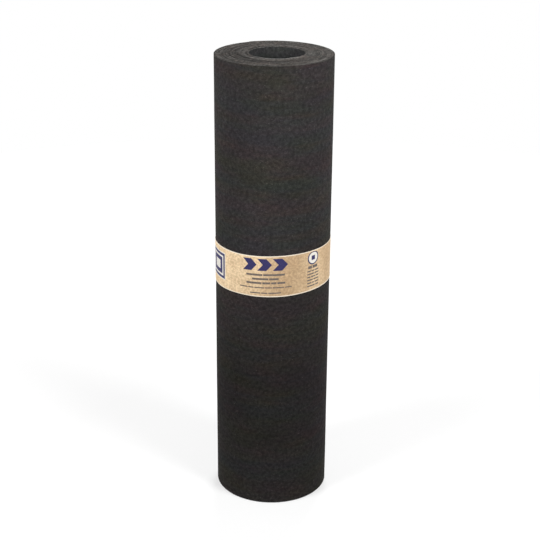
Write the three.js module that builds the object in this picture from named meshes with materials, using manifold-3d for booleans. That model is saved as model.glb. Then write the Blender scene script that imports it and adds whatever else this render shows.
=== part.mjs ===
// A roll of asphalt-saturated roofing felt, standing on its end, with a paper label band round its middle.
// Units are millimetres and +Z is up. The origin is on the floor under the roll's axis, and -Y is the front.
import * as THREE from "three";
import { mergeVertices } from "three/addons/utils/BufferGeometryUtils.js";
import Module from "manifold-3d";

const FULL_TURN = 2 * Math.PI;
const degrees = THREE.MathUtils.degToRad;

// The felt: one sheet, wound on itself round an open bore, with no core.
const FELT_WIDTH = 914.4; // 36 inches of sheet width, which is the standing roll's height
const BORE_RADIUS = 52.8; // at the sheet's inner end
const SHEET_PITCH = 1.47; // one thickness of felt, with the air beside it
const TURNS = 41.5; // from the sheet's inner end to its outer end: 21.9 m of felt
const BORE_SHIFT_X = 6; // how far the bore lies off the roll's axis
const BORE_SHIFT_Y = 5;
const OUTER_END_ANGLE = degrees(115); // the sheet's outer end runs up the roll's back

// The seam between turns, as both ends show it: a groove from the sheet's inner end to its outer end.
const SEAM_SHEETS = 3; // the sheets from one turn of the groove to the next
const SEAM_WIDTH = 0.8;
const SEAM_DEPTH = 1.0;
const SEAM_RUN_OUT = 0.01; // of a turn, past each end of the sheet

// The label band: one strip of paper, pasted to itself at the back.
const BAND_WIDTH = 86;
const BAND_HEIGHT = 505.4; // from the floor to the middle of the band
const BAND_TILT = degrees(1.9); // the band rises this much towards +X
const BAND_CLEARANCE = 0.3; // between the felt and the paper
const PAPER_THICKNESS = 0.3;
const PASTE_LAP = 50; // the length of the band where the paper is double
const PASTE_LAP_OFFSET = degrees(35); // from the felt's outer end round to the paper's

const STEPS_PER_TURN = 42; // flat facets in one turn of the spiral

const outerRadius = BORE_RADIUS + SHEET_PITCH * (TURNS + 1);

// A point on the roll's section, a number of sheets out from the bore. The outermost sheets lie round the
// roll's own axis, and each sheet nearer to the bore lies a little more round the bore's axis.
function sectionPoint(sheets, angle, standOff = 0) {
  const radius = BORE_RADIUS + SHEET_PITCH * sheets + standOff;
  const shifted = Math.max(0, 1 - sheets / TURNS);
  return new THREE.Vector2(
    BORE_SHIFT_X * shifted + radius * Math.cos(angle),
    BORE_SHIFT_Y * shifted + radius * Math.sin(angle),
  );
}

// A point on the wound sheet's inner face, a number of turns from the sheet's inner end.
function sheetPoint(turn, standOff = 0) {
  return sectionPoint(turn, OUTER_END_ANGLE + FULL_TURN * (turn - TURNS), standOff);
}

// One whole turn of the sheet. Its last point lies one sheet further out than its first.
function sheetTurn(firstTurn) {
  const points = [];
  for (let step = 0; step <= STEPS_PER_TURN; step++) {
    points.push(sheetPoint(firstTurn + step / STEPS_PER_TURN));
  }
  return points;
}

// The groove's centreline at one level. It takes fewer and wider turns than the sheet does, but it passes the
// feet of the sheet's inner and outer ends, as the sheet's own seam would, and runs out there.
class SeamLine extends THREE.Curve {
  constructor(level) {
    super();
    const sheets = TURNS - 1;
    this.level = level;
    this.turns = sheets - Math.round(sheets * (1 - 1 / SEAM_SHEETS));
    this.arcLengthDivisions = Math.ceil(this.turns * STEPS_PER_TURN) * 4;
  }

  getPoint(share, target = new THREE.Vector3()) {
    const turn = THREE.MathUtils.lerp(-SEAM_RUN_OUT, this.turns + SEAM_RUN_OUT, share);
    const sheets = 1 + ((TURNS - 1) * turn) / this.turns;
    const point = sectionPoint(sheets, OUTER_END_ANGLE + FULL_TURN * (turn - this.turns));
    return target.set(point.x, point.y, this.level);
  }
}

// The tool that cuts the groove: a V swept along the seam's line. Its section's x runs down the roll, and its
// y across the seam. The V points down into the roll's top end and up into its bottom end.
function seamCutter(level, pointsUp) {
  const line = new SeamLine(level);
  const into = pointsUp ? -1 : 1;
  const outside = -into * SEAM_WIDTH; // the tool stands this far out of the felt
  const section = new THREE.Shape([
    new THREE.Vector2(into * SEAM_DEPTH, 0),
    new THREE.Vector2(0, SEAM_WIDTH / 2),
    new THREE.Vector2(outside, SEAM_WIDTH / 2),
    new THREE.Vector2(outside, -SEAM_WIDTH / 2),
    new THREE.Vector2(0, -SEAM_WIDTH / 2),
  ]);
  const steps = Math.ceil(line.turns * STEPS_PER_TURN);
  return new THREE.ExtrudeGeometry(section, { extrudePath: line, steps });
}

// A closed mesh as a solid that can be cut.
function toSolid(wasm, geometry) {
  const bare = new THREE.BufferGeometry();
  bare.setAttribute("position", geometry.getAttribute("position"));
  const merged = mergeVertices(bare);
  return new wasm.Manifold(
    new wasm.Mesh({
      numProp: 3,
      vertProperties: merged.attributes.position.array,
      triVerts: new Uint32Array(merged.index.array),
    }),
  );
}

function toGeometry(solid) {
  const mesh = solid.getMesh();
  const geometry = new THREE.BufferGeometry();
  geometry.setAttribute("position", new THREE.BufferAttribute(mesh.vertProperties, 3));
  geometry.setIndex(new THREE.BufferAttribute(mesh.triVerts, 1));
  return geometry;
}

// The wound felt: the sheet's outermost turn outside, its innermost turn as the bore, and the seam cut into
// both ends. The sheet's two ends stand as steps, one sheet high, up the outside and up the bore.
function feltRoll(wasm) {
  const section = new THREE.Shape(sheetTurn(TURNS));
  section.holes.push(new THREE.Path(sheetTurn(0)));
  const wound = new THREE.ExtrudeGeometry(section, { depth: FELT_WIDTH, bevelEnabled: false });
  const cut = toSolid(wasm, wound)
    .subtract(toSolid(wasm, seamCutter(0, true)))
    .subtract(toSolid(wasm, seamCutter(FELT_WIDTH, false)));
  return toGeometry(cut);
}

// The band's section, seen from above. The paper follows the felt's outermost turn, bridges the step at its
// outer end, and is double along the pasted lap.
function bandSection() {
  const lapStart = PASTE_LAP_OFFSET / FULL_TURN;
  const lapEnd = lapStart + PASTE_LAP / (FULL_TURN * outerRadius);
  const paperFace = (layers) => (share) =>
    sheetPoint(TURNS + share, BAND_CLEARANCE + layers * PAPER_THICKNESS);
  const shares = Array.from({ length: STEPS_PER_TURN }, (_, step) => (step + 1) / STEPS_PER_TURN);
  const doubled = shares.filter((share) => share > lapStart && share < lapEnd);

  const section = new THREE.Shape([
    ...shares.filter((share) => share < lapStart).map(paperFace(1)),
    paperFace(1)(lapStart),
    ...[lapStart, ...doubled, lapEnd].map(paperFace(2)),
    ...shares.filter((share) => share > lapEnd).map(paperFace(1)),
  ]);
  section.holes.push(new THREE.Path(shares.map(paperFace(0))));
  return section;
}

// The band lies flat against the felt all round, and its two edges rise together towards +X.
function labelBand() {
  const band = new THREE.ExtrudeGeometry(bandSection(), { depth: BAND_WIDTH, bevelEnabled: false });
  band.translate(0, 0, BAND_HEIGHT - BAND_WIDTH / 2);
  return band.applyMatrix4(new THREE.Matrix4().makeShear(0, Math.tan(BAND_TILT), 0, 0, 0, 0));
}

const wasm = await Module();
wasm.setup();

const felt = new THREE.MeshStandardMaterial({ color: 0x3a3735, roughness: 0.95, metalness: 0 });
const kraftPaper = new THREE.MeshStandardMaterial({ color: 0xd9bd92, roughness: 0.8, metalness: 0 });

const roll = new THREE.Mesh(feltRoll(wasm), felt);
roll.name = "felt_roll";

const band = new THREE.Mesh(labelBand(), kraftPaper);
band.name = "label_band";

const part = new THREE.Group();
part.add(roll, band);

export default part;
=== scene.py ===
"""A roll of roofing felt standing on its end: the wound sheet, its paper label band, and the band's print."""
import math

import bmesh
import bpy
import numpy as np
from mathutils import Matrix, Vector, noise


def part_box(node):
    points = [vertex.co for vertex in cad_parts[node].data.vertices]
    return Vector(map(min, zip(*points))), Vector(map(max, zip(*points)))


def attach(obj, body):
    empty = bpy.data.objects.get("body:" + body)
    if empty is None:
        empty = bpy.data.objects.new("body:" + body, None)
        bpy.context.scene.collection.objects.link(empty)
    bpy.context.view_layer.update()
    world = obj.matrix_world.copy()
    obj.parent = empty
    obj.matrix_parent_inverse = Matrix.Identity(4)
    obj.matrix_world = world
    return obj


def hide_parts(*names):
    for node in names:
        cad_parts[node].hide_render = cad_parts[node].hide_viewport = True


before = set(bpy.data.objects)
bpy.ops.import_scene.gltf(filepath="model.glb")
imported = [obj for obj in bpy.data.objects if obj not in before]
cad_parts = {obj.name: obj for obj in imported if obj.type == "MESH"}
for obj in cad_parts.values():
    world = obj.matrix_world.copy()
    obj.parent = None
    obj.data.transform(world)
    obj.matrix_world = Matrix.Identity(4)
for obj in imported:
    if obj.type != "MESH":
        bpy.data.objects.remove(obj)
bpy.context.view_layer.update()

FULL_TURN = 2 * math.pi
MM = 0.001

# The felt: one sheet wound on itself, with its inner end in the bore and its outer end up the roll's back.
ROLL_BOTTOM, ROLL_TOP = (corner.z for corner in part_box("felt_roll"))
BORE_RADIUS = 52.8 * MM  # at the sheet's inner end
SHEET_PITCH = 1.47 * MM  # one thickness of felt, with the air beside it
TURNS = 41.5
BORE_SHIFT = (6 * MM, 5 * MM)  # how far the bore lies off the roll's axis
OUTER_END_ANGLE = math.radians(115)
FELT_THICKNESS = 1.15 * MM
CUT_CHAMFER = 0.22 * MM
FELT_PIECE_LENGTH = 6 * MM  # the flat length between two bends of the wound sheet
PATH_POINTS_PER_TURN = 96
FELT_SMOOTH_ANGLE = math.radians(30)  # bends up to this one are shaded as smooth
WALL_ROWS = 16  # the faces up the sheet's innermost and outermost turns

# How unevenly the felt is wound.
LOOSE_WINDING = 0.22 * MM  # how far the winding strays from a true spiral
EDGE_SPREAD = 1.6 * MM  # from the lowest turn's edge to the highest turn's
RING_SHEETS = 6  # the sheets in one of the coarse rings that the ends show
OUTER_TURN_SWELL = 0.5 * MM
SWOLLEN_SHARE = 0.8  # how much of the outermost turn is swollen in full
OUTER_END_LIFT = 1.6 * MM
INNER_END_LIFT = 3.0 * MM
OUTER_END_LENGTH = 45 * MM  # how much of the sheet's outer end stands off the roll
INNER_END_LENGTH = 70 * MM

# The felt's map for baking: each area's left, bottom, width and height, or an end's middle and radii.
BAKE_OUTSIDE = (0.005, 0.005, 0.72, 0.99)
BAKE_BORE = (0.745, 0.005, 0.21, 0.48)
BAKE_HIDDEN = (0.97, 0.005, 0.025, 0.48)
BAKE_TOP_END = (0.865, 0.87, 0.12, 0.12)
BAKE_BOTTOM_END = (0.865, 0.62, 0.12, 0.12)
BAKE_TURNS = 1.01  # the turns of the sheet in each of the outside and the bore
BAKE_MARGIN = 3 * MM  # round the ends

# The label band: one strip of paper, pasted to itself at the back.
BAND_WIDTH = 86 * MM
BAND_HEIGHT = 505.4 * MM  # from the floor to the middle of the band
BAND_TILT = math.tan(math.radians(1.9))  # the band's rise towards +X
PAPER_THICKNESS = 0.25 * MM
PAPER_CLEARANCE = 0.2 * MM
PASTE_LAP = 50 * MM
LAP_STACK = 1.3  # from the middle of the lap's inner layer to its outer one's, in thicknesses of paper
BAND_START = 35 / 360  # from the felt's outer end round to the paper's, as a share of a turn
BRIDGE_SHARE = 8 / 360  # the share of a turn in which the paper comes down off a step
BAND_PATH_POINTS = 1200
BAND_COLUMNS = 220
BAND_ROWS = 14
BAND_SMOOTH_ANGLE = math.radians(40)
BAND_GRIP = 55 * MM  # the band holds the outer turn down this far above and below itself
PAPER_CREASE = 0.16 * MM
EDGE_WANDER = 2.8 * MM  # how far the paper's cut edges stray from straight, at most

INK_THICKNESS = 0.07 * MM
INK_LIFT = 0.1  # the air between the paper and the ink, in thicknesses of ink
INK_STEP = 2 * MM  # the flat length between two bends of the print


# --- Shaping ----------------------------------------------------------------------------------------------


def deselect_all():
    if bpy.context.object and bpy.context.object.mode != "OBJECT":
        bpy.ops.object.mode_set(mode="OBJECT")
    bpy.ops.object.select_all(action="DESELECT")


def make_active(piece):
    deselect_all()
    piece.select_set(True)
    bpy.context.view_layer.objects.active = piece


def select_only(piece, kind, chosen):
    """Selects just the faces ("FACE") or edges ("EDGE") that pass the test, on a piece in edit mode."""
    bpy.ops.mesh.select_mode(type=kind)
    bpy.ops.mesh.select_all(action="DESELECT")
    shape = bmesh.from_edit_mesh(piece.data)
    for element in shape.faces if kind == "FACE" else shape.edges:
        element.select_set(bool(chosen(element)))
    bmesh.update_edit_mesh(piece.data)


def runs_along(edge, axis):
    """Whether the edge is parallel to the axis: 0 is X, 1 is Y and 2 is Z."""
    span = edge.verts[1].co - edge.verts[0].co
    return abs(span[axis]) > 0.999 * span.length


def middle(edge):
    """The point half way along an edge."""
    return (edge.verts[0].co + edge.verts[1].co) / 2


def faces_up_or_down(face):
    """Whether the face belongs to one of the roll's two ends."""
    return abs(face.normal.z) > 0.5


def apply_modifier(piece, kind, **settings):
    """Adds a modifier to the piece, sets it up and applies it."""
    make_active(piece)
    modifier = piece.modifiers.new(kind.title(), kind)
    for name, value in settings.items():
        setattr(modifier, name, value)
    bpy.ops.object.modifier_apply(modifier=modifier.name)


def points_of(piece):
    """The piece's points, one to a row."""
    points = np.empty(len(piece.data.vertices) * 3, np.float32)
    piece.data.vertices.foreach_get("co", points)
    return points.reshape(-1, 3).astype(float)


def place_points(piece, points):
    """Moves the piece's points to these."""
    piece.data.vertices.foreach_set("co", points.astype(np.float32).ravel())
    piece.data.update()


def smoothstep(value, start, end):
    """0 before the start, 1 after the end, and a smooth rise between them."""
    share = np.clip((value - start) / (end - start), 0, 1)
    return share * share * (3 - 2 * share)


def ripple(x, y, z):
    """Smooth noise from -1 to 1. Each coordinate is an array, or one number for all of its places.

    What multiplies a coordinate sets how fine the noise is, and what is added to one picks another stretch
    of it, so that no two uses match.
    """
    rows = np.broadcast_arrays(x, y, z)
    return np.array([noise.noise(Vector(row)) for row in zip(*rows)])


# --- How the sheet is wound -------------------------------------------------------------------------------


def sheet_angle(turn):
    """The angle round the roll, a number of turns from the sheet's inner end."""
    return OUTER_END_ANGLE + FULL_TURN * (turn - TURNS)


def winding_stray(turn):
    """How far the sheet lies off the true spiral. It is true at the bore and at the outside."""
    angle = sheet_angle(turn)
    stray = ripple(0.9 * np.cos(angle) + 3, 0.9 * np.sin(angle), turn / RING_SHEETS)
    return LOOSE_WINDING * stray * smoothstep(turn, 1, 4) * smoothstep(TURNS - turn, 1, 4)


def sheet_middle(turn):
    """The middle of the sheet's thickness, a number of turns from its inner end, seen from above."""
    sheets = turn + 0.5
    shifted = np.maximum(0, 1 - sheets / TURNS)
    radius = BORE_RADIUS + SHEET_PITCH * sheets + winding_stray(turn)
    angle = sheet_angle(turn)
    return np.column_stack([
        BORE_SHIFT[0] * shifted + radius * np.cos(angle),
        BORE_SHIFT[1] * shifted + radius * np.sin(angle),
    ])


def lengths_along(points):
    """The distance along a line of points, at each of them."""
    steps = np.linalg.norm(np.diff(points, axis=0), axis=1)
    return np.concatenate([[0], np.cumsum(steps)])


WINDING_TURNS = np.linspace(0, TURNS, int(TURNS * PATH_POINTS_PER_TURN) + 1)
WINDING_POINTS = sheet_middle(WINDING_TURNS)
WINDING_LENGTHS = lengths_along(WINDING_POINTS)
FELT_LENGTH = WINDING_LENGTHS[-1]
INNERMOST_TURN_END = WINDING_LENGTHS[PATH_POINTS_PER_TURN]
OUTERMOST_TURN_START = WINDING_LENGTHS[-PATH_POINTS_PER_TURN - 1]


def turn_at(along):
    """The number of turns from the sheet's inner end, at a distance along it."""
    return np.interp(along, WINDING_LENGTHS, WINDING_TURNS)


def path_curve(name, points):
    """A curve object through points seen from above, for a flat piece to be wound along."""
    curve = bpy.data.curves.new(name, "CURVE")
    curve.dimensions = "3D"
    curve.twist_mode = "Z_UP"
    curve.use_deform_bounds = False
    spline = curve.splines.new("POLY")
    spline.points.add(len(points) - 1)
    rows = np.column_stack([points, np.zeros(len(points)), np.ones(len(points))])
    spline.points.foreach_set("co", rows.ravel())
    path = bpy.data.objects.new(name, curve)
    bpy.context.scene.collection.objects.link(path)
    return path


def wind(pieces, name, points):
    """Winds flat pieces round the roll. A flat piece's X runs along the path and its -Y faces outwards."""
    path = path_curve(name, points)
    for piece in pieces:
        apply_modifier(piece, "CURVE", object=path, deform_axis="POS_X")
    bpy.data.objects.remove(path)


# --- The felt ---------------------------------------------------------------------------------------------


def flat_felt():
    """The whole sheet laid out flat: a short length with chamfered cut edges, arrayed and closed."""
    count = round(FELT_LENGTH / FELT_PIECE_LENGTH)
    step = FELT_LENGTH / count
    width = ROLL_TOP - ROLL_BOTTOM - EDGE_SPREAD
    deselect_all()
    bpy.ops.mesh.primitive_cube_add(size=1, location=(step / 2, 0, ROLL_BOTTOM + width / 2))
    sheet = bpy.context.object
    sheet.name = sheet.data.name = "wound_felt"
    sheet.scale = (step, FELT_THICKNESS, width)
    bpy.ops.object.transform_apply(location=True, rotation=False, scale=True)

    bpy.ops.object.mode_set(mode="EDIT")
    select_only(sheet, "FACE", lambda face: abs(face.normal.x) > 0.9)
    bpy.ops.mesh.delete(type="FACE")
    select_only(sheet, "EDGE", lambda edge: runs_along(edge, 0))
    bpy.ops.mesh.bevel(offset=CUT_CHAMFER, segments=1)
    bpy.ops.object.mode_set(mode="OBJECT")
    apply_modifier(sheet, "ARRAY", count=count, use_merge_vertices=True, merge_threshold=1e-5)

    bpy.ops.object.mode_set(mode="EDIT")
    divide_wall(sheet, lambda x: x < INNERMOST_TURN_END)
    divide_wall(sheet, lambda x: x > OUTERMOST_TURN_START)
    close_ends(sheet, step)
    cut_many_cornered_faces()
    bpy.ops.object.mode_set(mode="OBJECT")
    return sheet


def divide_wall(sheet, chosen):
    """Cuts the sheet's two faces into rows where the test on X passes, so that they can swell there."""
    select_only(sheet, "EDGE", lambda edge: runs_along(edge, 2) and chosen(middle(edge).x))
    bpy.ops.mesh.subdivide(number_cuts=WALL_ROWS - 1)


def close_ends(sheet, step):
    """Bridges the sheet's two faces at both ends, and fills the holes that the chamfers leave there."""
    for end in (0, FELT_LENGTH):
        select_only(
            sheet, "EDGE", lambda edge: runs_along(edge, 2) and abs(middle(edge).x - end) < step / 2,
        )
        bpy.ops.mesh.bridge_edge_loops()
    bpy.ops.mesh.select_mode(type="VERT")
    bpy.ops.mesh.select_all(action="SELECT")
    bpy.ops.mesh.fill_holes(sides=4)
    bpy.ops.mesh.select_all(action="SELECT")
    bpy.ops.mesh.normals_make_consistent(inside=False)


def cut_many_cornered_faces():
    """Cuts each face with more than four corners, beside the divided wall, into well-shaped triangles."""
    bpy.ops.mesh.select_mode(type="FACE")
    bpy.ops.mesh.select_face_by_sides(number=4, type="GREATER", extend=False)
    bpy.ops.mesh.quads_convert_to_tris(ngon_method="BEAUTY")


def edge_rise(turn):
    """How high the sheet's cut edges stand at each place along it, between 0 and EDGE_SPREAD."""
    angle = sheet_angle(turn)
    drift = ripple(0.5 * np.cos(angle), 0.5 * np.sin(angle) + 5, turn / RING_SHEETS + 9)
    own = ripple(0.6 * np.cos(angle) + 7, 0.6 * np.sin(angle), turn * 1.7)
    rise = 0.65 * drift + 0.35 * own
    return EDGE_SPREAD * (rise - rise.min()) / (rise.max() - rise.min())


def band_grip(height):
    """0 where the label band holds the outer turn down, and 1 well above and below it."""
    return smoothstep(abs(height - BAND_HEIGHT), BAND_WIDTH / 2, BAND_WIDTH / 2 + BAND_GRIP)


def shape_felt(sheet):
    """Gives the flat sheet the unevenness that it shows once it is wound. Its -Y face will face outwards."""
    points = points_of(sheet)
    along, height = points[:, 0], points[:, 2].copy()
    turn = turn_at(along)
    points[:, 2] += np.interp(turn, WINDING_TURNS, edge_rise(WINDING_TURNS))

    on_outer = smoothstep(turn, TURNS - 1, TURNS - SWOLLEN_SHARE)
    swell = OUTER_TURN_SWELL * np.abs(ripple(along * 5, height * 7, 2))
    near_end = 1 - smoothstep(FELT_LENGTH - along, 0, OUTER_END_LENGTH)
    lift = OUTER_END_LIFT * near_end**2 * (0.6 + 0.4 * ripple(height * 5, 0, 4))
    points[:, 1] -= on_outer * band_grip(height) * (swell + lift)

    near_end = 1 - smoothstep(along, 0, INNER_END_LENGTH)
    points[:, 1] += INNER_END_LIFT * near_end**2 * (0.7 + 0.3 * ripple(height * 4, 0, 8))
    place_points(sheet, points)


def map_felt(sheet):
    """Lays a map on the flat sheet, in metres along it and up it, and keeps each place's turn."""
    mesh = sheet.data
    points = points_of(sheet)
    turn = turn_at(points[:, 0])
    mesh.attributes.new("turn", "FLOAT", "POINT").data.foreach_set("value", turn.astype(np.float32))
    corner_points = np.empty(len(mesh.loops), np.int32)
    mesh.loops.foreach_get("vertex_index", corner_points)
    mesh.uv_layers[0].name = "sheet"
    mesh.uv_layers[0].data.foreach_set("uv", points[corner_points][:, [0, 2]].astype(np.float32).ravel())


def spot_in(area, across, up):
    """The spot on the map for baking that lies these shares of the way across and up an area."""
    left, bottom, width, height = area
    return left + width * across, bottom + height * up


def lay_out_for_baking(sheet):
    """A second map, where what shows has nearly all the room: the outside, the bore and both ends."""
    mesh = sheet.data
    layout = mesh.uv_layers.new(name="OFBake")
    turn = np.empty(len(mesh.vertices), np.float32)
    mesh.attributes["turn"].data.foreach_get("value", turn)
    points = points_of(sheet)
    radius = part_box("felt_roll")[1].x + BAKE_MARGIN
    for face in mesh.polygons:
        turns = [turn[vertex] for vertex in face.vertices]
        outwards = face.normal.x * face.center.x + face.normal.y * face.center.y > 0
        for corner, vertex in zip(face.loop_indices, face.vertices):
            x, y, z = points[vertex]
            up = (z - ROLL_BOTTOM) / (ROLL_TOP - ROLL_BOTTOM)
            if faces_up_or_down(face):
                end = BAKE_TOP_END if face.normal.z > 0 else BAKE_BOTTOM_END
                spot = spot_in(end, x / radius, y / radius)
            elif outwards and min(turns) > TURNS - BAKE_TURNS:
                spot = spot_in(BAKE_OUTSIDE, (turn[vertex] - TURNS + BAKE_TURNS) / BAKE_TURNS, up)
            elif not outwards and max(turns) < BAKE_TURNS:
                spot = spot_in(BAKE_BORE, turn[vertex] / BAKE_TURNS, up)
            else:
                spot = spot_in(BAKE_HIDDEN, turn[vertex] / TURNS, up)
            layout.data[corner].uv = spot
    mesh.uv_layers.active = mesh.uv_layers["sheet"]


def wound_felt(face_finish, edge_finish):
    """The felt: the flat sheet, mapped, shaped, wound and finished."""
    sheet = flat_felt()
    map_felt(sheet)
    shape_felt(sheet)
    wind([sheet], "winding", WINDING_POINTS)
    make_active(sheet)
    bpy.ops.object.shade_smooth_by_angle(angle=FELT_SMOOTH_ANGLE)
    sheet.data.materials.append(face_finish)
    sheet.data.materials.append(edge_finish)
    for face in sheet.data.polygons:
        face.material_index = 1 if faces_up_or_down(face) else 0
    lay_out_for_baking(sheet)
    return sheet


# --- The label band ---------------------------------------------------------------------------------------


def felt_surface(share):
    """The radius of the felt's outside, a share of a turn past its outer end, with that step bridged."""
    share = np.mod(share, 1)
    out = BORE_RADIUS + SHEET_PITCH * (TURNS - 0.5 + share) + FELT_THICKNESS / 2
    return out + SHEET_PITCH * (1 - smoothstep(share, 0, BRIDGE_SHARE))


def band_path(share):
    """The middle of the paper's thickness, at shares of a turn past the felt's outer end, seen from above."""
    lap_end = BAND_START + LAP_SHARE
    on_top = 1 - smoothstep(share, lap_end, lap_end + BRIDGE_SHARE)
    radius = felt_surface(share) + PAPER_CLEARANCE + PAPER_THICKNESS * (0.5 + LAP_STACK * on_top)
    angle = OUTER_END_ANGLE + FULL_TURN * share
    return np.column_stack([radius * np.cos(angle), radius * np.sin(angle)])


LAP_SHARE = PASTE_LAP / (FULL_TURN * felt_surface(0))
BAND_END = 1 + BAND_START + LAP_SHARE  # the paper's inner end, which lies under its outer one
BAND_SHARES = np.linspace(BAND_START, BAND_END, BAND_PATH_POINTS)
BAND_POINTS = band_path(BAND_SHARES)
BAND_LENGTHS = lengths_along(BAND_POINTS)
BAND_LENGTH = BAND_LENGTHS[-1]
FRONT_SHARE = (math.radians(270) - OUTER_END_ANGLE) / FULL_TURN
BAND_FRONT = np.interp(FRONT_SHARE, BAND_SHARES, BAND_LENGTHS)


def paper_swell(along, up):
    """How far the paper stands off the felt: soft waves, a little more of them at its edges."""
    waves = ripple(along * 22, up * 16, 1) + 0.5 * ripple(along * 60, up * 30, 6)
    near_edge = smoothstep(abs(up), 0.25 * BAND_WIDTH, 0.5 * BAND_WIDTH)
    return PAPER_CREASE * (0.5 + 0.5 * near_edge) * (0.6 + waves)


def shape_paper(piece):
    """Gives a flat piece of the band its waves, and sets it at its height on the roll."""
    points = points_of(piece)
    along, up = points[:, 0], points[:, 2].copy()
    points[:, 1] -= paper_swell(along, up)
    wander = EDGE_WANDER * ripple(along * 8 + 7.5, np.sign(up) * 3, 5.5)
    points[:, 2] += BAND_HEIGHT - wander * smoothstep(abs(up), 0.4 * BAND_WIDTH, 0.5 * BAND_WIDTH)
    place_points(piece, points)


def tilt_band(piece):
    """Slants a wound piece of the band, so that it rises towards +X and stays against the felt."""
    points = points_of(piece)
    points[:, 2] += BAND_TILT * points[:, 0]
    place_points(piece, points)


def flat_band():
    """The paper strip laid out flat, from its outer end at X = 0, with its printed side to -Y."""
    deselect_all()
    bpy.ops.mesh.primitive_grid_add(x_subdivisions=BAND_COLUMNS, y_subdivisions=BAND_ROWS, size=1)
    band = bpy.context.object
    band.name = band.data.name = "label_paper_band"
    band.scale = (BAND_LENGTH, BAND_WIDTH, 1)
    band.rotation_euler = (math.radians(90), 0, 0)
    band.location = (BAND_LENGTH / 2, 0, 0)
    bpy.ops.object.transform_apply()
    band.data.uv_layers[0].name = "strip"
    apply_modifier(band, "SOLIDIFY", thickness=PAPER_THICKNESS, offset=0, use_rim=True)
    return band


# --- The band's print: plain shapes, laid out in millimetres from the middle of the band's front -----------

PANEL = (-168, -107, -24, 32)  # the framed panel's left, right, low and high sides
PANEL_FRAMES = ((2, 5), (11, 8))  # how far each frame lies inside the panel, and its width
ARROWHEADS = ((-59, -31), (-29.5, -1), (0.5, 30))  # each one's left and right ends
ARROWHEAD_LOW, ARROWHEAD_HIGH = 12, 36.5
ARROWHEAD_LEAN = 0.38  # of its length
RING_CENTRE = (86.5, 26)
RING_RADIUS = 14
RING_WIDTH = 2.4
RING_GROUND_RADIUS = 13.5
RING_SQUARE = 9
RING_CORNERS = 40
SMALL_ROW_STEP = 6.2


def ink_bar(left, right, low, high, lean=0.0):
    """A flat bar of ink, whose top is pushed to the right by lean."""
    deselect_all()
    bpy.ops.mesh.primitive_plane_add(size=1)
    bar = bpy.context.object
    points = points_of(bar)
    flat = np.zeros_like(points)
    flat[:, 0] = (left + right) / 2 + points[:, 0] * (right - left) + points[:, 1] * lean
    flat[:, 2] = (low + high) / 2 + points[:, 1] * (high - low)
    place_points(bar, flat * MM)
    return bar


def hollow(shape, border):
    """Leaves only the border of a flat shape of ink."""
    make_active(shape)
    bpy.ops.object.mode_set(mode="EDIT")
    bpy.ops.mesh.select_all(action="SELECT")
    bpy.ops.mesh.inset(thickness=border * MM)
    bpy.ops.mesh.delete(type="FACE")
    bpy.ops.object.mode_set(mode="OBJECT")
    return shape


def ink_disc(centre, radius):
    """A flat disc of ink."""
    across, up = centre
    deselect_all()
    bpy.ops.mesh.primitive_circle_add(
        vertices=RING_CORNERS, radius=radius * MM, fill_type="NGON", rotation=(math.pi / 2, 0, 0),
        location=(across * MM, 0, up * MM),
    )
    bpy.ops.object.transform_apply()
    return bpy.context.object


def ink_square(centre, side):
    """A flat square of ink."""
    across, up = centre
    return ink_bar(across - side / 2, across + side / 2, up - side / 2, up + side / 2)


def panel_bar(margin):
    """A flat bar of ink that fills the framed panel, apart from a margin."""
    left, right, low, high = PANEL
    return ink_bar(left + margin, right - margin, low + margin, high - margin)


def dash_row(left, right, low, high, lengths, gap=1.6):
    """A row of short bars of these relative lengths, which fills the place between left and right."""
    room = right - left - gap * (len(lengths) - 1)
    bars = []
    for length in lengths:
        width = room * length / sum(lengths)
        bars.append(ink_bar(left, left + width, low, high))
        left += width + gap
    return bars


def arrowhead(left, right):
    """A bold arrowhead that points right: two leaning bars that meet half way up."""
    half_way = (ARROWHEAD_LOW + ARROWHEAD_HIGH) / 2
    lean = (right - left) * ARROWHEAD_LEAN
    upper = ink_bar(left + lean / 2, right - lean / 2, half_way, ARROWHEAD_HIGH, -lean)
    lower = ink_bar(left + lean / 2, right - lean / 2, ARROWHEAD_LOW, half_way, lean)
    return [upper, lower]


def white_print():
    """The white shapes: the grounds of the framed panel and of the ring."""
    return [panel_bar(0), ink_disc(RING_CENTRE, RING_GROUND_RADIUS)]


def bold_print():
    """The bold shapes: three arrowheads, two frames round to the left, and a ring with a square in it."""
    bars = []
    for left, right in ARROWHEADS:
        bars += arrowhead(left, right)
    bars += [hollow(panel_bar(margin), width) for margin, width in PANEL_FRAMES]
    bars += [hollow(ink_disc(RING_CENTRE, RING_RADIUS), RING_WIDTH), ink_square(RING_CENTRE, RING_SQUARE)]
    return bars


def small_print():
    """The small shapes: rows of dashes under the arrowheads and under the ring."""
    bars = dash_row(-52, 24, 1.4, 5.4, (7, 9))
    bars += dash_row(-40, 12, -7.2, -3.2, (7, 4))
    bars += dash_row(-52, 25, -15.6, -11.6, (6, 3, 2, 3))
    bars += dash_row(-66, 38, -24.2, -22.0, (6, 4, 7, 5, 8, 5))
    bars += dash_row(-44, 17, -35.4, -33.0, (5, 3, 6))
    bars += dash_row(74, 98, 4.4, 10.2, (3, 4))
    for row, lengths in enumerate([(4, 3, 5), (6, 4), (3, 4, 3), (5, 5), (4, 2, 4), (7, 3)]):
        down = SMALL_ROW_STEP * row
        bars += dash_row(72, 102, -2.0 - down, 0.6 - down, lengths)
    return bars


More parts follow.
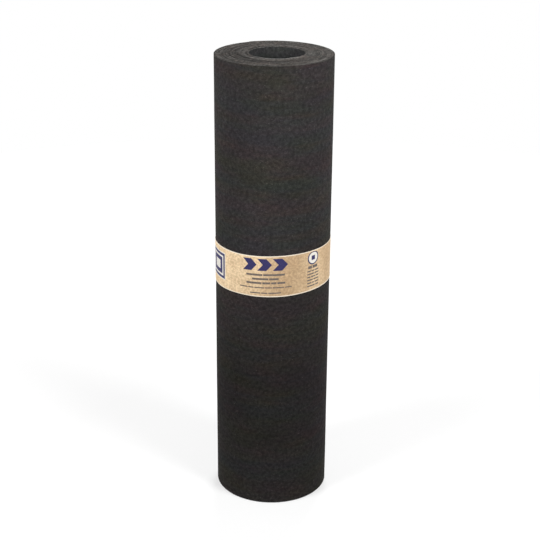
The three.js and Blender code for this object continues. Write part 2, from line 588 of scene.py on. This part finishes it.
def printed_piece(name, bars, layer, finish):
    """Joins flat shapes of ink into one thin piece that can bend with the paper.

    The first layer lies on the paper, and the second on the first.
    """
    make_active(bars[0])
    for bar in bars:
        bar.select_set(True)
    bpy.ops.object.join()
    ink = bpy.context.object
    ink.name = ink.data.name = name
    points = points_of(ink)
    points[:, 0] += BAND_FRONT
    points[:, 1] -= PAPER_THICKNESS / 2 + INK_THICKNESS * (layer - 0.5 + INK_LIFT)
    low, high = points[:, 0].min(), points[:, 0].max()
    place_points(ink, points)

    bpy.ops.object.mode_set(mode="EDIT")
    bpy.ops.mesh.select_all(action="SELECT")
    bpy.ops.mesh.remove_doubles(threshold=1e-6)
    for place in np.arange(low + INK_STEP, high, INK_STEP):
        bpy.ops.mesh.select_all(action="SELECT")
        bpy.ops.mesh.bisect(plane_co=(place, 0, 0), plane_no=(1, 0, 0))
    bpy.ops.mesh.select_all(action="SELECT")
    bpy.ops.mesh.normals_make_consistent(inside=False)
    bpy.ops.object.mode_set(mode="OBJECT")
    apply_modifier(ink, "SOLIDIFY", thickness=INK_THICKNESS, offset=0, use_rim=True)
    ink.data.materials.append(finish)
    return ink


def label_band(paper, white_ink, blue_ink, slate_ink):
    """The band and its print, wound together round the roll."""
    band = flat_band()
    band.data.materials.append(paper)
    pieces = [
        band,
        printed_piece("label_white_print", white_print(), 1, white_ink),
        printed_piece("label_bold_print", bold_print(), 2, blue_ink),
        printed_piece("label_small_print", small_print(), 1, slate_ink),
    ]
    for piece in pieces:
        shape_paper(piece)
    wind(pieces, "band_winding", BAND_POINTS)
    for piece in pieces:
        tilt_band(piece)
        make_active(piece)
        bpy.ops.object.shade_smooth_by_angle(angle=BAND_SMOOTH_ANGLE)
    return pieces


# --- Making finishes --------------------------------------------------------------------------------------

MIX_FIRST, MIX_SECOND, MIX_RESULT = 6, 7, 2  # the places of a Mix node's colours among its sockets


def add_node(tree, kind, inputs=(), **settings):
    """A node with its settings, whose inputs are values or other nodes' outputs, by name or number."""
    node = tree.nodes.new(kind)
    for name, value in settings.items():
        setattr(node, name, value)
    for socket, value in dict(inputs).items():
        if isinstance(value, bpy.types.NodeSocket):
            tree.links.new(value, node.inputs[socket])
        else:
            node.inputs[socket].default_value = value
    return node


def new_finish(name):
    """A material with one Principled BSDF. Returns it with its node tree and that shader."""
    finish = bpy.data.materials.new(name)
    finish.use_nodes = True
    tree = finish.node_tree
    return finish, tree, tree.nodes["Principled BSDF"]


def math_node(tree, operation, *values):
    """The result of a Math node for these values."""
    return add_node(tree, "ShaderNodeMath", enumerate(values), operation=operation).outputs[0]


def vector_math(tree, operation, *values):
    """A Vector Math node for these values. Its result is its Vector or its Value, as the operation has it."""
    return add_node(tree, "ShaderNodeVectorMath", enumerate(values), operation=operation)


def coordinate(tree, vector, axis):
    """One coordinate of a vector: "X", "Y" or "Z"."""
    return add_node(tree, "ShaderNodeSeparateXYZ", {"Vector": vector}).outputs[axis]


def object_place(tree):
    """Each place on a piece, in metres from the middle of the roll's foot."""
    return add_node(tree, "ShaderNodeTexCoord").outputs["Object"]


def turn_of_sheet(tree):
    """The number of turns from the sheet's inner end to each place."""
    return add_node(tree, "ShaderNodeAttribute", attribute_name="turn").outputs["Fac"]


def scaled(tree, place, scale, moved_by=(0, 0, 0)):
    """The place, scaled and then moved. A pattern stretches along an axis whose scale is under 1."""
    inputs = {"Vector": place, "Location": moved_by, "Scale": scale}
    return add_node(tree, "ShaderNodeMapping", inputs).outputs["Vector"]


def map_range(tree, value, start, end, low=0.0, high=1.0, **settings):
    """Low at the start, high at the end, and between them in step with the value."""
    inputs = {"Value": value, "From Min": start, "From Max": end, "To Min": low, "To Max": high}
    return add_node(tree, "ShaderNodeMapRange", inputs, **settings).outputs["Result"]


def ramp(tree, value, *stops):
    """A colour ramp through (place, colour) stops. A colour is a grey level or three numbers."""
    node = add_node(tree, "ShaderNodeValToRGB", {"Fac": value})
    elements = node.color_ramp.elements
    while len(elements) < len(stops):
        elements.new(0.5)
    for element, (place, colour) in zip(elements, stops):
        element.position = place
        element.color = (*colour, 1) if isinstance(colour, tuple) else (colour, colour, colour, 1)
    return node.outputs["Color"]


def as_colour(value):
    """Three numbers as a colour that a socket takes. Another node's output stays as it is."""
    return value if isinstance(value, bpy.types.NodeSocket) else (*value, 1)


def mix_colours(tree, share, first, second, blend_type="MIX"):
    """The first colour with this share of the second."""
    inputs = {"Factor": share, MIX_FIRST: as_colour(first), MIX_SECOND: as_colour(second)}
    node = add_node(tree, "ShaderNodeMix", inputs, data_type="RGBA", blend_type=blend_type)
    return node.outputs[MIX_RESULT]


def laid_over(tree, base, mask, most, colour):
    """The base with a colour over it, at its thickest where the mask is 1."""
    return mix_colours(tree, math_node(tree, "MULTIPLY", mask, most), base, colour)


def multiplied(tree, colour, *tones):
    """The colour made darker by tones under 1 and paler by tones over 1."""
    for tone in tones:
        colour = mix_colours(tree, 1.0, colour, tone, "MULTIPLY")
    return colour


def bumped(tree, height, strength, distance, under=None):
    """The normal of a surface with bumps, which lie on the bumps under them, if there are any."""
    inputs = {"Height": height, "Strength": strength, "Distance": distance}
    if under:
        inputs["Normal"] = under
    return add_node(tree, "ShaderNodeBump", inputs).outputs["Normal"]


# --- The effects that several finishes share --------------------------------------------------------------

FIBRE_BENDS_PER_METRE = 120.0
FIBRE_BEND = 12 * MM  # the width in which a thread wanders
CLUMPS_PER_FIBRE = 0.18
NOTCHES_PER_METRE = 900.0  # in the ragged outline of a fleck
NOTCH_DEPTH = 0.12  # as a share of the room that a fleck has


def new_group(name, inputs, outputs):
    """An empty shader node group. Each input is (name, kind, value) and each output is (name, kind)."""
    group = bpy.data.node_groups.new(name, "ShaderNodeTree")
    for label, kind, value in inputs:
        socket = group.interface.new_socket(label, in_out="INPUT", socket_type=kind)
        if value is not None:
            socket.default_value = value
    for label, kind in outputs:
        group.interface.new_socket(label, in_out="OUTPUT", socket_type=kind)
    return group, group.nodes.new("NodeGroupInput"), group.nodes.new("NodeGroupOutput")


def fibre_group():
    """Matted fibres: fine threads that run every way, and the clumps that they gather in."""
    group, given, out = new_group(
        "matted fibres",
        [("Vector", "NodeSocketVector", None), ("Fibres per metre", "NodeSocketFloat", 900.0)],
        [("Threads", "NodeSocketFloat"), ("Clumps", "NodeSocketFloat")],
    )
    vector, density = given.outputs["Vector"], given.outputs["Fibres per metre"]
    bends = add_node(
        group, "ShaderNodeTexNoise", {"Vector": vector, "Scale": FIBRE_BENDS_PER_METRE, "Detail": 2.0},
    )
    bend = vector_math(group, "SUBTRACT", bends.outputs["Color"], (0.5, 0.5, 0.5))
    shift = add_node(
        group, "ShaderNodeVectorMath", {0: bend.outputs[0], "Scale": FIBRE_BEND}, operation="SCALE",
    )
    bent = vector_math(group, "ADD", vector, shift.outputs[0]).outputs[0]
    threads = add_node(
        group, "ShaderNodeTexNoise", {"Vector": bent, "Scale": density, "Detail": 5.0, "Roughness": 0.65},
        noise_type="RIDGED_MULTIFRACTAL",
    )
    clump_density = math_node(group, "MULTIPLY", density, CLUMPS_PER_FIBRE)
    clumps = add_node(group, "ShaderNodeTexNoise", {"Vector": bent, "Scale": clump_density, "Detail": 4.0})
    group.links.new(threads.outputs["Fac"], out.inputs["Threads"])
    group.links.new(clumps.outputs["Fac"], out.inputs["Clumps"])
    return group


def patch_group():
    """Soft uneven patches, such as dust or a drier stretch of the asphalt, with a hard or soft edge."""
    group, given, out = new_group(
        "uneven patches",
        [
            ("Vector", "NodeSocketVector", None),
            ("Patches per metre", "NodeSocketFloat", 12.0),
            ("Least", "NodeSocketFloat", 0.4),
            ("Most", "NodeSocketFloat", 0.7),
        ],
        [("Mask", "NodeSocketFloat")],
    )
    vector, density = given.outputs["Vector"], given.outputs["Patches per metre"]
    cloud = add_node(
        group, "ShaderNodeTexNoise", {"Vector": vector, "Scale": density, "Detail": 5.0, "Roughness": 0.6},
    )
    mask = map_range(
        group, cloud.outputs["Fac"], given.outputs["Least"], given.outputs["Most"],
        interpolation_type="SMOOTHSTEP",
    )
    group.links.new(mask, out.inputs["Mask"])
    return group


def fleck_group():
    """Small scattered flecks, such as lint and grit. Only some of their places hold one."""
    group, given, out = new_group(
        "scattered flecks",
        [
            ("Vector", "NodeSocketVector", None),
            ("Flecks per metre", "NodeSocketFloat", 150.0),
            ("Size", "NodeSocketFloat", 0.1),
            ("Share that show", "NodeSocketFloat", 0.3),
        ],
        [("Mask", "NodeSocketFloat")],
    )
    vector, density = given.outputs["Vector"], given.outputs["Flecks per metre"]
    notches = add_node(group, "ShaderNodeTexNoise", {"Vector": vector, "Scale": NOTCHES_PER_METRE})
    cells = add_node(group, "ShaderNodeTexVoronoi", {"Vector": vector, "Scale": density})
    reach = math_node(group, "MULTIPLY_ADD", notches.outputs["Fac"], NOTCH_DEPTH, cells.outputs["Distance"])
    near = math_node(group, "LESS_THAN", reach, given.outputs["Size"])
    chance = add_node(group, "ShaderNodeSeparateColor", {"Color": cells.outputs["Color"]})
    shown = math_node(group, "LESS_THAN", chance.outputs["Red"], given.outputs["Share that show"])
    group.links.new(math_node(group, "MULTIPLY", near, shown), out.inputs["Mask"])
    return group


FIBRES, PATCHES, FLECKS = fibre_group(), patch_group(), fleck_group()


def use_group(tree, group, inputs):
    """Places a shared effect in a material, with the material's own values."""
    return add_node(tree, "ShaderNodeGroup", inputs, node_tree=group)


def matted_fibres(tree, place, density):
    """Fibres, this many to a metre. It puts out Threads and Clumps."""
    return use_group(tree, FIBRES, {"Vector": place, "Fibres per metre": density})


def patches(tree, place, density, least, most):
    """Where there are patches, this many to a metre. They are hard where least and most are close."""
    inputs = {"Vector": place, "Patches per metre": density, "Least": least, "Most": most}
    return use_group(tree, PATCHES, inputs).outputs["Mask"]


def flecks(tree, place, density, size, share):
    """Where there are flecks: this many places to a metre, of which this share hold one."""
    inputs = {"Vector": place, "Flecks per metre": density, "Size": size, "Share that show": share}
    return use_group(tree, FLECKS, inputs).outputs["Mask"]


# --- The felt's finishes ----------------------------------------------------------------------------------

CHARCOAL, PALE_CHARCOAL = (0.0400, 0.0368, 0.0348), (0.0540, 0.0498, 0.0474)
BROWN_FELT, COOL_FELT = (0.0570, 0.0440, 0.0405), (0.0380, 0.0425, 0.0440)
# The bore's two colours: painted light, which makes it paler all through, and painted shade down in it.
BORE_PAINTED_LIGHT, BORE_PAINTED_SHADE = (0.0475, 0.0520, 0.0530), (0.0160, 0.0172, 0.0184)
OLIVE_CAST, PLAIN_CAST, PLUM_CAST = (0.975, 1.02, 0.88), (0.995, 1.005, 0.99), (1.06, 0.96, 1.06)
# The first colour is painted shade for the small pits in the felt.
PIT_PAINTED_SHADE, LINT_GREY = (0.011, 0.010, 0.010), (0.105, 0.098, 0.090)
DARK_EDGE, PALE_EDGE = (0.0230, 0.0214, 0.0199), (0.0712, 0.0680, 0.0635)
# The last colour is a painted highlight, partly wear, for the front of the bore's lip.
BROWN_EDGE, EDGE_DUST, LIP_HIGHLIGHT_GREY = (0.0660, 0.0505, 0.0440), (0.120, 0.113, 0.104), (0.124, 0.126, 0.124)
# Painted light: the ends are made paler towards one side, by this tone.
PAINTED_LIGHT_TONE = (1.36, 1.36, 1.36)
PAINTED_LIGHT_SIDE = (math.cos(math.radians(60)), math.sin(math.radians(60)), 0)  # where the ends are palest
FELT_GLOSS = 0.05
BORE_TURNS = 1.5  # the turns that count as the bore's wall
LIP_HIGHLIGHT_TURNS = 5.0  # how many turns out from the bore the painted highlight, partly wear, on its lip reaches
RING_SHIFT = 0.07  # how far the coarse rings lie to the back, as a share of the winding
ARC_DRIFT = 0.3  # how far the arcs' pattern moves on from one turn to the next
TURN_TONES_START, ARCS_START, HUES_START = 9.0, 58.3, (20.59, 20.84, 0)  # the places in their noise
# Where the painted shade down the bore begins and where it is full.
BORE_PAINTED_SHADE_START, BORE_PAINTED_SHADE_END = ROLL_TOP - 12 * MM, ROLL_TOP - 24 * MM


def charcoal(tree, place, stretched):
    """Darker and paler charcoal, with browner and cooler patches along the sheet."""
    streaked = scaled(tree, place, (0.08, 1, 1))
    base = mix_colours(tree, patches(tree, place, 8.0, 0.3, 0.7), CHARCOAL, PALE_CHARCOAL)
    base = laid_over(tree, base, patches(tree, stretched, 26.0, 0.45, 0.65), 0.6, BROWN_FELT)
    return laid_over(tree, base, patches(tree, streaked, 34.0, 0.45, 0.65), 0.6, COOL_FELT)


def bore_painted_light_and_shade(tree, base, up):
    """The base with painted light all through the bore, which turns it greyer and paler, and painted shade,
    which darkens it down in it.
    """
    in_bore = math_node(tree, "LESS_THAN", turn_of_sheet(tree), BORE_TURNS)
    painted_shade_down_bore = map_range(tree, up, BORE_PAINTED_SHADE_START, BORE_PAINTED_SHADE_END, high=0.6)
    base = laid_over(tree, base, in_bore, 0.68, BORE_PAINTED_LIGHT)
    return laid_over(tree, base, in_bore, painted_shade_down_bore, BORE_PAINTED_SHADE)


def painted_light_by_height(tree, up):
    """Painted light and shade by height: how much paler or darker the felt is made at each height, from the
    bottom to the top.
    """
    share = math_node(tree, "DIVIDE", up, ROLL_TOP)
    return ramp(tree, share, (0.0, 1.05), (0.13, 0.82), (0.32, 0.78), (0.47, 1.06), (0.66, 1.24), (1.0, 1.04))


def hue_drift(tree, place):
    """A soft drift of the felt's hue, from olive to plum."""
    drift = patches(tree, scaled(tree, place, (0.3, 1, 1), HUES_START), 20.0, 0.25, 0.75)
    return ramp(tree, drift, (0.15, OLIVE_CAST), (0.45, PLAIN_CAST), (0.8, PLUM_CAST))


def finish_felt_face():
    """The saturated face of the felt: charcoal with browner and cooler patches, matt, matted and flecked,
    with painted light and shade up its height and in the bore.
    """
    finish, tree, surface = new_finish("saturated felt face")
    place = add_node(tree, "ShaderNodeUVMap", uv_map="sheet").outputs["UV"]
    stretched = scaled(tree, place, (0.45, 1, 1))
    up = coordinate(tree, place, "Y")
    felt = matted_fibres(tree, stretched, 1000.0)

    # The bore gets painted light all through and painted shade down in it.
    base = bore_painted_light_and_shade(tree, charcoal(tree, place, stretched), up)
    threads = ramp(tree, felt.outputs["Threads"], (0.1, 0.45), (0.5, 1.0), (0.95, 1.66))
    cloudy = ramp(tree, patches(tree, place, 150.0, 0.3, 0.7), (0.0, 0.69), (1.0, 1.33))
    # The wall is made paler and darker by height, as painted light and shade.
    base = multiplied(tree, base, threads, cloudy, painted_light_by_height(tree, up), hue_drift(tree, place))
    # Dark flecks of painted shade, where small pits are.
    base = laid_over(tree, base, flecks(tree, stretched, 330.0, 0.2, 0.4), 0.55, PIT_PAINTED_SHADE)
    base = laid_over(tree, base, flecks(tree, place, 170.0, 0.16, 0.12), 0.6, LINT_GREY)
    tree.links.new(base, surface.inputs["Base Color"])

    rough = ramp(tree, felt.outputs["Clumps"], (0.3, 0.74), (0.7, 0.95))
    tree.links.new(rough, surface.inputs["Roughness"])
    surface.inputs["Specular IOR Level"].default_value = FELT_GLOSS
    coarse = bumped(tree, felt.outputs["Clumps"], 0.5, 0.9 * MM)
    fine = bumped(tree, felt.outputs["Threads"], 0.7, 0.4 * MM, under=coarse)
    tree.links.new(fine, surface.inputs["Normal"])
    return finish


def turn_tones(tree, turn):
    """A tone of its own for each turn, from dark to pale."""
    inputs = {"W": math_node(tree, "ADD", turn, TURN_TONES_START), "Scale": 0.45, "Detail": 2.0}
    own = add_node(tree, "ShaderNodeTexNoise", inputs, noise_dimensions="1D").outputs["Fac"]
    return ramp(tree, own, (0.3, DARK_EDGE), (0.7, PALE_EDGE))


def ring_tones(tree, turn, around):
    """Coarse rings of darker and paler turns, and painted light that makes one side of the ends paler."""
    from_bore = math_node(tree, "DIVIDE", turn, TURNS)
    shifted = math_node(tree, "MULTIPLY_ADD", coordinate(tree, around, "Y"), -RING_SHIFT, from_bore)
    rings = ramp(
        tree, shifted, (0.0, 0.85), (0.08, 1.32), (0.18, 1.50), (0.30, 0.88), (0.48, 0.53), (0.60, 0.84),
        (0.77, 1.42), (0.90, 1.38), (1.0, 0.90),
    )
    # Painted light: the rings give way to a paler tone towards one side of the ends.
    to_painted_light_side = vector_math(tree, "DOT_PRODUCT", around, PAINTED_LIGHT_SIDE).outputs["Value"]
    painted_light_share = map_range(tree, to_painted_light_side, -1.0, 1.0, 0.05, 0.95)
    return mix_colours(tree, painted_light_share, rings, PAINTED_LIGHT_TONE)


def arc_tones(tree, turn, around):
    """Darker and paler arcs, which run along the turns for part of the way round."""
    x, y = coordinate(tree, around, "X"), coordinate(tree, around, "Y")
    z = math_node(tree, "MULTIPLY_ADD", turn, ARC_DRIFT, ARCS_START)
    place = add_node(tree, "ShaderNodeCombineXYZ", {"X": x, "Y": y, "Z": z}).outputs["Vector"]
    arcs = add_node(tree, "ShaderNodeTexNoise", {"Vector": place, "Scale": 1.0, "Detail": 3.0})
    return ramp(tree, arcs.outputs["Fac"], (0.3, 0.42), (0.7, 1.68))


def lip_highlight_and_wear(tree, turn, around):
    """1 where the innermost turns get a painted highlight, partly wear, at the front of the bore's lip."""
    by_bore = map_range(tree, turn, LIP_HIGHLIGHT_TURNS, BORE_TURNS, interpolation_type="SMOOTHSTEP")
    in_front = map_range(tree, coordinate(tree, around, "Y"), -0.5, -0.95)
    return math_node(tree, "MULTIPLY", by_bore, in_front)


def finish_cut_edge():
    """The cut edges of the turns: drier and greyer than the face, with each turn its own tone, patches of
    dust, painted light on one side, and a painted highlight, partly wear, on the front of the bore's lip.
    """
    finish, tree, surface = new_finish("cut felt edge")
    place = object_place(tree)
    turn = turn_of_sheet(tree)
    around = vector_math(tree, "NORMALIZE", scaled(tree, place, (1, 1, 0))).outputs["Vector"]
    felt = matted_fibres(tree, place, 1100.0)

    base = turn_tones(tree, turn)
    base = laid_over(tree, base, patches(tree, place, 40.0, 0.45, 0.6), 0.35, BROWN_EDGE)
    base = laid_over(tree, base, patches(tree, place, 24.0, 0.4, 0.75), 0.15, EDGE_DUST)
    # A painted highlight, partly wear, on the front of the bore's lip.
    base = laid_over(tree, base, lip_highlight_and_wear(tree, turn, around), 0.52, LIP_HIGHLIGHT_GREY)
    threads = ramp(tree, felt.outputs["Threads"], (0.1, 0.55), (0.5, 1.0), (0.9, 1.5))
    rings, arcs = ring_tones(tree, turn, around), arc_tones(tree, turn, around)
    grain = ramp(tree, patches(tree, place, 190.0, 0.35, 0.65), (0.0, 0.58), (1.0, 1.45))
    base = multiplied(tree, base, threads, rings, arcs, grain)
    tree.links.new(base, surface.inputs["Base Color"])

    surface.inputs["Roughness"].default_value = 0.95
    surface.inputs["Specular IOR Level"].default_value = FELT_GLOSS
    tree.links.new(bumped(tree, felt.outputs["Threads"], 0.7, 0.4 * MM), surface.inputs["Normal"])
    return finish


# --- The label's finishes ---------------------------------------------------------------------------------

PALE_KRAFT, DARK_KRAFT, STAINED_KRAFT = (0.940, 0.722, 0.457), (0.495, 0.342, 0.195), (0.620, 0.415, 0.240)
THIN_PULP, THICK_PULP = (0.84, 0.815, 0.785), (1.165, 1.175, 1.19)
# The second colour is the paler line along each cut edge: partly the paper's own edge, partly a painted
# highlight.
SPECK_BROWN, CUT_EDGE_AND_HIGHLIGHT = (0.33, 0.20, 0.10), (0.88, 0.79, 0.66)
CUT_LINE_START, CUT_LINE_FULL = 0.470, 0.480  # out from the middle of the band, in widths of it
BROAD_TONES_START = (2.0, 0, 0)  # the place in their noise
WHITE_INK, THIN_WHITE = (0.74, 0.72, 0.67), (0.70, 0.60, 0.46)
BLUE_INK, THIN_BLUE = (0.022, 0.019, 0.080), (0.038, 0.036, 0.125)
SLATE_INK, THIN_SLATE = (0.115, 0.095, 0.085), (0.240, 0.190, 0.145)


def finish_paper():
    """Kraft paper: tan, unevenly toned, with darker and paler fibres and a paler line along each cut edge,
    partly a painted highlight.
    """
    finish, tree, surface = new_finish("kraft paper")
    strip = add_node(tree, "ShaderNodeUVMap", uv_map="strip").outputs["UV"]
    place = scaled(tree, strip, (BAND_LENGTH, BAND_WIDTH, 1))
    stretched = scaled(tree, place, (1, 0.3, 1), BROAD_TONES_START)
    paper = matted_fibres(tree, place, 500.0)

    base = mix_colours(tree, patches(tree, stretched, 5.0, 0.35, 0.65), PALE_KRAFT, DARK_KRAFT)
    base = laid_over(tree, base, patches(tree, place, 55.0, 0.4, 0.7), 0.45, STAINED_KRAFT)
    pulp = ramp(tree, patches(tree, place, 215.0, 0.35, 0.65), (0.0, THIN_PULP), (1.0, THICK_PULP))
    threads = ramp(tree, paper.outputs["Threads"], (0.1, 0.835), (0.5, 1.095), (0.9, 1.255))
    base = multiplied(tree, base, pulp, threads)
    base = laid_over(tree, base, flecks(tree, place, 260.0, 0.15, 0.2), 0.45, SPECK_BROWN)
    from_middle = math_node(tree, "ABSOLUTE", math_node(tree, "SUBTRACT", coordinate(tree, strip, "Y"), 0.5))
    at_edge = map_range(
        tree, from_middle, CUT_LINE_START, CUT_LINE_FULL, interpolation_type="SMOOTHSTEP",
    )
    # A paler line along each cut edge: partly the paper's own edge, partly a painted highlight.
    base = laid_over(tree, base, at_edge, 0.8, CUT_EDGE_AND_HIGHLIGHT)
    tree.links.new(base, surface.inputs["Base Color"])

    rough = ramp(tree, paper.outputs["Clumps"], (0.3, 0.62), (0.7, 0.8))
    tree.links.new(rough, surface.inputs["Roughness"])
    surface.inputs["Specular IOR Level"].default_value = 0.35
    tree.links.new(bumped(tree, paper.outputs["Threads"], 0.25, 0.2 * MM), surface.inputs["Normal"])
    return finish


def finish_ink(name, full, thin):
    """Ink soaked into kraft paper, a little thinner in places."""
    finish, tree, surface = new_finish(name)
    worn = patches(tree, object_place(tree), 420.0, 0.45, 0.8)
    tree.links.new(mix_colours(tree, worn, full, thin), surface.inputs["Base Color"])
    surface.inputs["Roughness"].default_value = 0.6
    surface.inputs["Specular IOR Level"].default_value = 0.3
    return finish


# --- Floor, light and camera, in metres -------------------------------------------------------------------

FLOOR_RADIUS = 2.6
LIT_RADIUS = 0.5  # the middle of the floor, which the lamps light best
MIDDLE_GLOW, RIM_GLOW = 0.5, 0.92  # about what the lit floor lacks to be white, there and at its rim
FLOOR_GREY = (0.35, 0.35, 0.35, 1)
WHITE = (1, 1, 1, 1)
WORLD_STRENGTH = 0.22
LAMP_AIM = (0, 0, 1.2)
LAMP_SIZE = 0.8

CAMERA_DISTANCE = 2.363
CAMERA_HEIGHT = 1.423
CAMERA_DOWN = math.radians(21.895)
CAMERA_LEFT = math.radians(0.122)
CAMERA_ROLL = math.radians(0.381)
LENS_MM = 84.38
SENSOR_MM = 36


def seen_directly(tree):
    """1 for what is seen, also in a mirror or through glass, and 0 for the light that falls on things."""
    path = add_node(tree, "ShaderNodeLightPath")
    seen = math_node(tree, "MAXIMUM", path.outputs["Is Camera Ray"], path.outputs["Is Glossy Ray"])
    return math_node(tree, "MAXIMUM", seen, path.outputs["Is Transmission Ray"])


def pale_floor():
    """A pale floor, which takes the roll's shadow.

    For the eye alone it glows, and more so further from the lamps, so that it is white all over.
    """
    deselect_all()
    bpy.ops.mesh.primitive_circle_add(vertices=128, radius=FLOOR_RADIUS, fill_type="NGON")
    floor = bpy.context.object
    floor.name = "floor"
    finish, tree, surface = new_finish("pale floor")
    surface.inputs["Base Color"].default_value = FLOOR_GREY
    surface.inputs["Roughness"].default_value = 0.9
    distance = vector_math(tree, "LENGTH", object_place(tree)).outputs["Value"]
    lack = map_range(tree, distance, LIT_RADIUS, FLOOR_RADIUS, MIDDLE_GLOW, RIM_GLOW)
    glow = math_node(tree, "MULTIPLY", lack, seen_directly(tree))
    glowing = add_node(tree, "ShaderNodeEmission", {"Strength": glow})
    both = add_node(tree, "ShaderNodeAddShader", {0: surface.outputs[0], 1: glowing.outputs[0]})
    tree.links.new(both.outputs[0], tree.nodes["Material Output"].inputs["Surface"])
    floor.data.materials.append(finish)


def soft_world():
    """A white room, which lights the roll with only a little of its white."""
    world = bpy.data.worlds.new("soft white room")
    bpy.context.scene.world = world
    world.use_nodes = True
    tree = world.node_tree
    background = tree.nodes["Background"]
    background.inputs["Color"].default_value = WHITE
    rest = math_node(tree, "MULTIPLY", seen_directly(tree), 1 - WORLD_STRENGTH)
    tree.links.new(math_node(tree, "ADD", rest, WORLD_STRENGTH), background.inputs["Strength"])


def soft_lamp(name, place, power):
    """A round lamp that points at the upper half of the roll. Its power is in watts."""
    light = bpy.data.lights.new(name, "AREA")
    light.shape = "DISK"
    light.size = LAMP_SIZE
    light.energy = power
    lamp = bpy.data.objects.new(name, light)
    bpy.context.scene.collection.objects.link(lamp)
    lamp.location = place
    lamp.rotation_euler = (Vector(LAMP_AIM) - Vector(place)).to_track_quat("-Z", "Y").to_euler()


def set_camera():
    """The camera stands in front of the roll, above its top, and looks down at it."""
    camera = bpy.data.objects.new("camera", bpy.data.cameras.new("camera"))
    bpy.context.scene.collection.objects.link(camera)
    camera.data.lens = LENS_MM
    camera.data.sensor_width = SENSOR_MM
    camera.matrix_world = (
        Matrix.Translation((0, -CAMERA_DISTANCE, CAMERA_HEIGHT))
        @ Matrix.Rotation(CAMERA_LEFT, 4, "Z")
        @ Matrix.Rotation(math.radians(90) - CAMERA_DOWN, 4, "X")
        @ Matrix.Rotation(CAMERA_ROLL, 4, "Z")
    )
    bpy.context.scene.camera = camera


# --- The roll ---------------------------------------------------------------------------------------------

set_camera()
felt = wound_felt(finish_felt_face(), finish_cut_edge())
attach(felt, "root")
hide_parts("felt_roll")

white = finish_ink("white ink", WHITE_INK, THIN_WHITE)
blue = finish_ink("blue ink", BLUE_INK, THIN_BLUE)
slate = finish_ink("small print ink", SLATE_INK, THIN_SLATE)
label_pieces = label_band(finish_paper(), white, blue, slate)
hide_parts("label_band")
for piece in label_pieces:
    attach(piece, "root")

pale_floor()
soft_world()
soft_lamp("left lamp", (-1.2, -0.85, 1.9), 42)
soft_lamp("right lamp", (1.1, -0.95, 1.9), 48)
soft_lamp("back lamp", (0.2, 1.45, 1.9), 34)

view = bpy.context.scene.view_settings
view.view_transform = "Standard"
